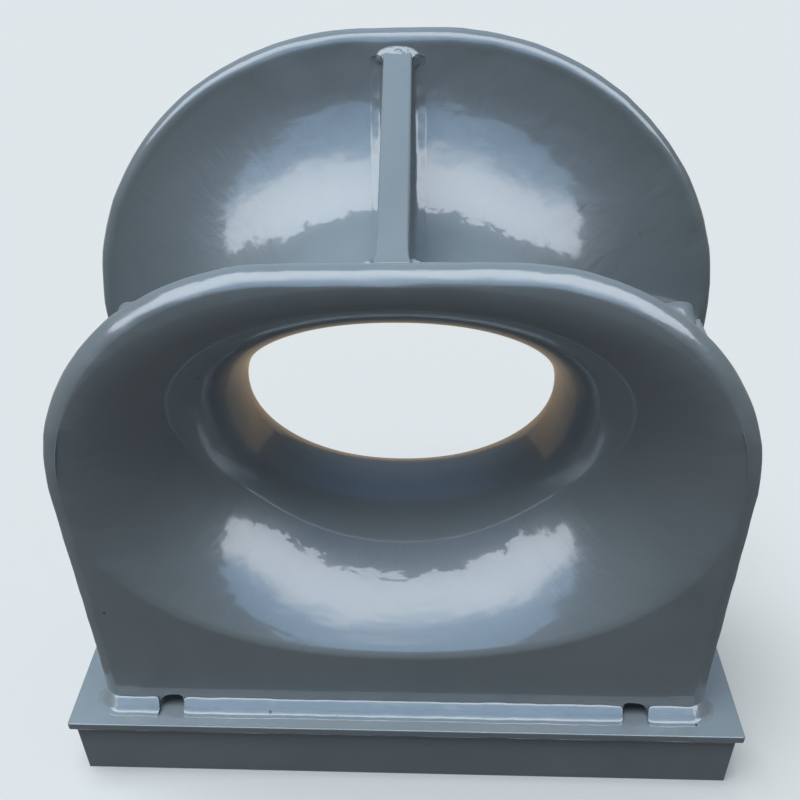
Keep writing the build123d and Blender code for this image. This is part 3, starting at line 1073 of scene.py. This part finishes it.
# per finish: roughness added, sag, peel, round strokes, nib scale, share of cells, nib size
FINISHES = {
    "bell_paint": (0.0, 1.0, 1.0, 1.0, 17.0, 0.06, 0.035),
    "plate_paint": (0.03, 0.7, 1.0, 0.0, 19.0, 0.07, 0.035),
    "weld_paint": (0.0, 0.8, 1.2, 0.0, 60.0, 0.16, 0.12),
    "inner_paint": (0.15, 0.7, 1.5, 0.0, 20.0, 0.06, 0.05),
}


def enamel(slot):
    """The enamel of one paint slot, made once."""
    name = slot.replace("paint", "enamel")
    if name in bpy.data.materials:
        return bpy.data.materials[name]
    look = bpy.context.scene.chock_enamel
    rougher, sag, peel, fan, scale, share, size = FINISHES[slot]
    material = bpy.data.materials.new(name)
    material.use_nodes = True
    tree = material.node_tree
    groups = bpy.data.node_groups
    brushed = {
        "Colour": (*look.colour, 1),
        "Thick Colour": (*look.shade, 1),
        "Roughness": look.roughness + rougher,
        "Peel": look.peel * peel,
        "Sag": look.sag * sag,
        "Round": fan,
    }
    coat_group = groups.get("brushed_coat") or brushed_coat()
    coat = add_node(tree, "Group", brushed, node_tree=coat_group)
    spots = {"Scale": scale, "Share": share, "Size": size}
    nib, shaded_pit = add_node(tree, "Group", spots, node_tree=groups.get("nibs") or nibs())
    light = mixed(tree, nib, coat["Colour"], look.nib)
    height = maths(tree, "MULTIPLY_ADD", nib, NIB_HEIGHT, coat["Height"])
    height = maths(tree, "MULTIPLY_ADD", shaded_pit, -PIT_DEPTH, height)
    bump = {"Strength": 1.0, "Distance": 1.0, "Height": height}
    fill(tree, tree.nodes["Principled BSDF"], {
        # base colour: the coat's colour with pale nibs, and painted shade in the pin holes
        "Base Color": mixed(tree, shaded_pit, light, PIT_SHADE_COLOUR),
        "Roughness": coat["Roughness"],
        "Coat Weight": 1.0,
        "Coat Roughness": 0.035,
        "Normal": add_node(tree, "Bump", bump)["Normal"],
    })
    return material


# ---- stage ----


def pale_floor():
    """Pale floor in view; it lights as dull grey, and the gloss shows tan behind the chock."""
    lone()
    bpy.ops.mesh.primitive_plane_add(size=60, location=(0, 0, 0))
    floor = placed("floor")
    material = bpy.data.materials.new("floor")
    material.use_nodes = True
    tree = material.node_tree
    ray = add_node(tree, "LightPath")
    y = add_node(tree, "SeparateXYZ", {0: add_node(tree, "TexCoord")["Object"]})["Y"]
    behind = maths(tree, "MULTIPLY_ADD", y, 1.3, -0.15, clamp=True)
    ground = mixed(tree, behind, (0.085, 0.084, 0.082), (0.27, 0.185, 0.115))
    ground = mixed(tree, ray["Is Glossy Ray"], (0.065, 0.064, 0.063), ground)
    seen = mixed(tree, ray["Is Camera Ray"], ground, bpy.context.scene.chock_stage.floor)
    dull = {"Base Color": seen, "Roughness": 0.9, "Specular IOR Level": 0.0}
    fill(tree, tree.nodes["Principled BSDF"], dull)
    floor.data.materials.append(material)


def ramp(tree, value, low, high):
    """Smooth step from 0 at low to 1 at high."""
    inputs = {"From Min": low, "From Max": high, "Value": value}
    return add_node(tree, "MapRange", inputs, interpolation_type="SMOOTHSTEP")["Result"]


def low_sky():
    """Even light for everything, and for the gloss a bright doorway to the sky in front.

    Across and climb are the slopes of a ray that leaves towards the front, so the doorway
    has straight edges. Turn and rise are its degrees from straight in front and from level.
    """
    stage = bpy.context.scene.chock_stage
    world = bpy.data.worlds.new("sky")
    bpy.context.scene.world = world
    world.use_nodes = True
    tree = world.node_tree
    do = partial(maths, tree)
    way = add_node(tree, "TexCoord")["Generated"]
    x, y, z = add_node(tree, "SeparateXYZ", {0: way})
    forward = do("MAXIMUM", do("MULTIPLY", y, -1.0), 0.001)
    across = do("ABSOLUTE", do("DIVIDE", x, forward))
    climb = do("DIVIDE", z, forward)
    turn = do("MULTIPLY", do("ARCTANGENT", across), 180 / pi)
    rise = do("MULTIPLY", do("ARCSINE", z), 180 / pi)
    rough_edge = do("MULTIPLY_ADD", clouds(tree, way, 9.0, 7, 0.65, 0.3), 2.0, -1.0)
    puffs = do("MULTIPLY_ADD", clouds(tree, way, 3.2, 9, 0.66, 0.4), 2.0, -1.0)

    # the doorway, between a torn skyline, its top and its two sides
    skyline = ramp(tree, do("MULTIPLY_ADD", rough_edge, 10.0, rise), 6.0, 10.0)
    top = do("MULTIPLY_ADD", rough_edge, 0.85, climb)
    under_top = do("SUBTRACT", 1.0, ramp(tree, top, 1.40, 1.50))
    side = do("MULTIPLY_ADD", rough_edge, 1.1, across)
    between = do("SUBTRACT", 1.0, ramp(tree, side, 1.55, 1.85))
    doorway = do("MULTIPLY", do("MULTIPLY", under_top, between), skyline)

    # the sky in it, blue below and clouded above and to the sides
    low = do("MULTIPLY_ADD", do("MULTIPLY", turn, turn), 0.012, rise)
    whiteness = ramp(tree, do("MULTIPLY_ADD", puffs, 28.0, low), 20.0, 36.0)
    blue = [c * stage.glow_level for c in (0.20, 0.32, 0.49)]
    white = [c * stage.glow_level for c in (0.92, 1.0, 1.1)]
    bright = mixed(tree, whiteness, blue, white)
    dome = mixed(tree, ramp(tree, rise, 20.0, 60.0), (0.10, 0.12, 0.15), (0.12, 0.24, 0.45))
    dome = mixed(tree, skyline, (0.10, 0.10, 0.097), dome)
    gloss = mixed(tree, doorway, dome, bright)

    even = [c * stage.sky_level for c in (0.95, 1.0, 1.06)]
    backdrop = (0.86, 0.87, 0.88)
    ray = add_node(tree, "LightPath")
    light = mixed(tree, ray["Is Glossy Ray"], even, gloss)
    seen = mixed(tree, ray["Is Camera Ray"], light, backdrop)
    fill(tree, tree.nodes["Background"], {"Color": seen})


def wide_light():
    """Soft light from overhead and a little from the left, not shown in the gloss."""
    lone()
    bpy.ops.object.light_add(type="SUN", location=(-0.5, -0.3, 2.9))
    light = bpy.context.object
    light.name = "overhead"
    light.rotation_euler = Vector((0.5, 0.18, -2.6)).to_track_quat("-Z", "Y").to_euler()
    light.data.angle = radians(46)
    light.data.energy = bpy.context.scene.chock_stage.key_level
    light.data.color = (0.92, 1, 1.04)
    light.visible_glossy = False


def stand_camera():
    """The photograph's camera, as solved from it."""
    place = (0.0339, -0.9033, 1.0908)
    yaw, pitch, roll = -0.0620, 0.6209, -0.0323
    # in pixels: width of the view, focal length, and the point straight ahead
    size, focal, ahead_x, ahead_y = 800, 930.7, 381.5, 423.9
    ahead = Vector((sin(yaw) * cos(pitch), cos(yaw) * cos(pitch), -sin(pitch)))
    right = Vector((cos(yaw), -sin(yaw), 0))
    upright = right.cross(ahead)
    across = right * cos(roll) + upright * sin(roll)
    high = upright * cos(roll) - right * sin(roll)
    turn = Matrix((across, high, -ahead)).transposed().to_4x4()
    bpy.ops.object.camera_add()
    camera = bpy.context.object
    camera.name = "camera"
    camera.matrix_world = Matrix.Translation(place) @ turn
    camera.data.sensor_width = 36
    camera.data.lens = 36 * focal / size
    camera.data.shift_x = (size / 2 - ahead_x) / size
    camera.data.shift_y = (ahead_y - size / 2) / size
    camera.data.clip_start = 0.02
    bpy.context.scene.camera = camera


class CHOCK_OT_stage(bpy.types.Operator):
    """Pale floor, soft light overhead, low sky and the camera"""

    bl_idname = "chock.stage"
    bl_label = "Stage"

    def execute(self, context):
        pale_floor()
        low_sky()
        wide_light()
        stand_camera()
        context.scene.view_settings.view_transform = "Standard"
        return {"FINISHED"}


PIECES = (
    CHOCK_OT_bell_halves,
    CHOCK_OT_plates,
    CHOCK_OT_rib_welds,
    CHOCK_OT_throat_weld,
    CHOCK_OT_shelf_welds,
    CHOCK_OT_side_welds,
    CHOCK_OT_foot_welds,
    CHOCK_OT_skirt_weld,
    CHOCK_OT_stage,
)
GROUPS = (
    ("chock_bell", ChockBell),
    ("chock_welds", ChockWelds),
    ("chock_enamel", ChockEnamel),
    ("chock_stage", ChockStage),
)


class CHOCK_PT_panel(bpy.types.Panel):
    """Sizes, colours and pieces of the chock"""

    bl_idname = "CHOCK_PT_panel"
    bl_label = "Panama Chock"
    bl_space_type = "VIEW_3D"
    bl_region_type = "UI"
    bl_category = "Chock"

    def draw(self, context):
        for name, group in GROUPS:
            box = self.layout.box()
            for item in group.__annotations__:
                box.prop(getattr(context.scene, name), item)
        for piece in PIECES:
            self.layout.operator(piece.bl_idname)


def register():
    for name, group in GROUPS:
        bpy.utils.register_class(group)
        setattr(bpy.types.Scene, name, PointerProperty(type=group))
    for item in (*PIECES, CHOCK_PT_panel):
        bpy.utils.register_class(item)


def unregister():
    for item in reversed((*PIECES, CHOCK_PT_panel)):
        bpy.utils.unregister_class(item)
    for name, group in reversed(GROUPS):
        delattr(bpy.types.Scene, name)
        bpy.utils.unregister_class(group)


def main():
    register()
    for piece in PIECES:
        getattr(bpy.ops.chock, piece.bl_idname.split(".")[1])()


if __name__ == "__main__":
    main()
